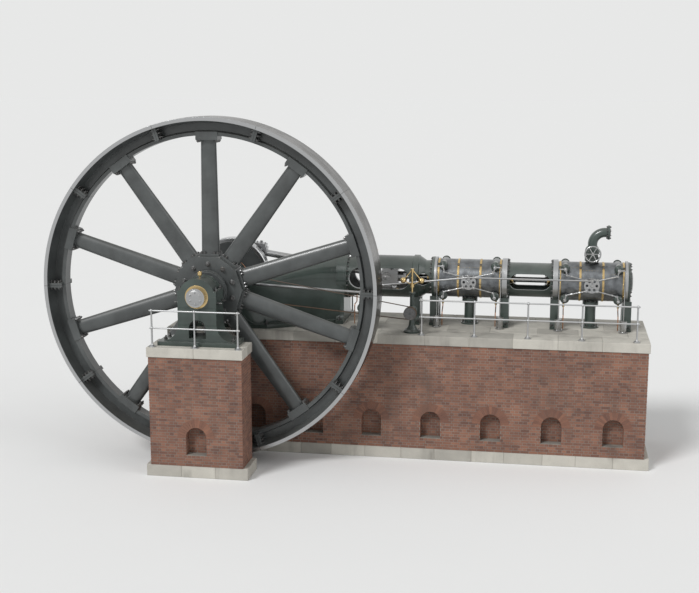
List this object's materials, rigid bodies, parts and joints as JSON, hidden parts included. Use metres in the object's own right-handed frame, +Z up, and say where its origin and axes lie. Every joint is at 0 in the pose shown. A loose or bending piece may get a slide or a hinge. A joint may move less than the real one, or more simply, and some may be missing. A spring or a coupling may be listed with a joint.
{
  "type": "horizontal stationary steam engine",
  "caption": "Horizontal stationary steam engine on brick piers, with cylinders in line, bored crosshead guide, crank disc and a great spoked flywheel turning in its pit.",
  "frame": {"origin": "on the underside of the engine's pier, straight below the crankshaft's axis where it meets the cylinder line", "axes": "+X from the crankshaft towards the cylinders, +Y along the crankshaft away from the flywheel, +Z up"},
  "size_m": [16.39, 5.62, 9.3998],
  "materials": {
    "brick": "hard dark red brick in lime mortar",
    "stone": "dressed stone, oil darkened",
    "engine_paint": "dark engine enamel over filled castings",
    "lagging_steel": "planished sheet, blued and oiled",
    "brass": "polished, slightly tarnished",
    "bright_steel": "machined bright, oil filmed",
    "belt": "oiled leather belt over a dark iron pulley",
    "rail_steel": "polished tube",
    "wheel_paint": "dark painted casting with turned rim edges"
  },
  "bodies": {
    "engine": {"foundation_piers": "brick", "pier_coping": "stone", "footings": "stone", "engine_bed": "engine_paint", "crosshead_guide": "engine_paint", "bearing_caps": "engine_paint", "outboard_pedestal": "engine_paint", "front_cylinder": "engine_paint", "rear_cylinder": "engine_paint", "distance_piece": "engine_paint", "cylinder_covers": "engine_paint", "cylinder_feet": "engine_paint", "steam_elbow": "engine_paint", "exhaust_pipes": "engine_paint", "valve_bonnets": "engine_paint", "rocker_stand": "engine_paint", "governor_stand": "engine_paint", "governor_drive": "belt", "lagging": "lagging_steel", "lagging_bands": "brass", "bearing_brasses": "brass", "stuffing_boxes": "brass", "governor_head": "brass", "oil_cups": "brass", "wrist_plates": "bright_steel", "valve_links": "bright_steel", "dashpots": "bright_steel", "eccentric": "bright_steel", "reach_rods": "bright_steel", "stop_valve_wheel": "bright_steel", "rail_posts": "rail_steel", "hand_rails": "rail_steel"},
    "flywheel": {"flywheel_rim": "wheel_paint", "flywheel_arms": "wheel_paint", "flywheel_hub": "wheel_paint", "crankshaft": "bright_steel", "crank_disc": "bright_steel"},
    "crosshead": {"crosshead": "bright_steel", "crosshead_slippers": "brass", "piston_rod": "bright_steel", "pistons": "bright_steel"},
    "connecting_rod": {"connecting_rod": "bright_steel", "rod_straps": "bright_steel", "rod_brasses": "brass", "crank_pin": "bright_steel"}
  },
  "joints": [
    {"name": "flywheel_spin", "type": "hinge", "parent": "engine", "child": "flywheel", "pos_m": [0, -2.68, 4.8], "axis": [0, 1, 0], "continuous": true},
    {"name": "crosshead_slide", "type": "slide", "parent": "engine", "child": "crosshead", "axis": [1, 0, 0], "range_m": [-1.0868, 0.4332]},
    {"name": "rod_swing", "type": "hinge", "parent": "crosshead", "child": "connecting_rod", "pos_m": [4.42683, 0, 4.8], "axis": [0, 1, 0], "range_deg": [-19.92, 1.44]}
  ]
}
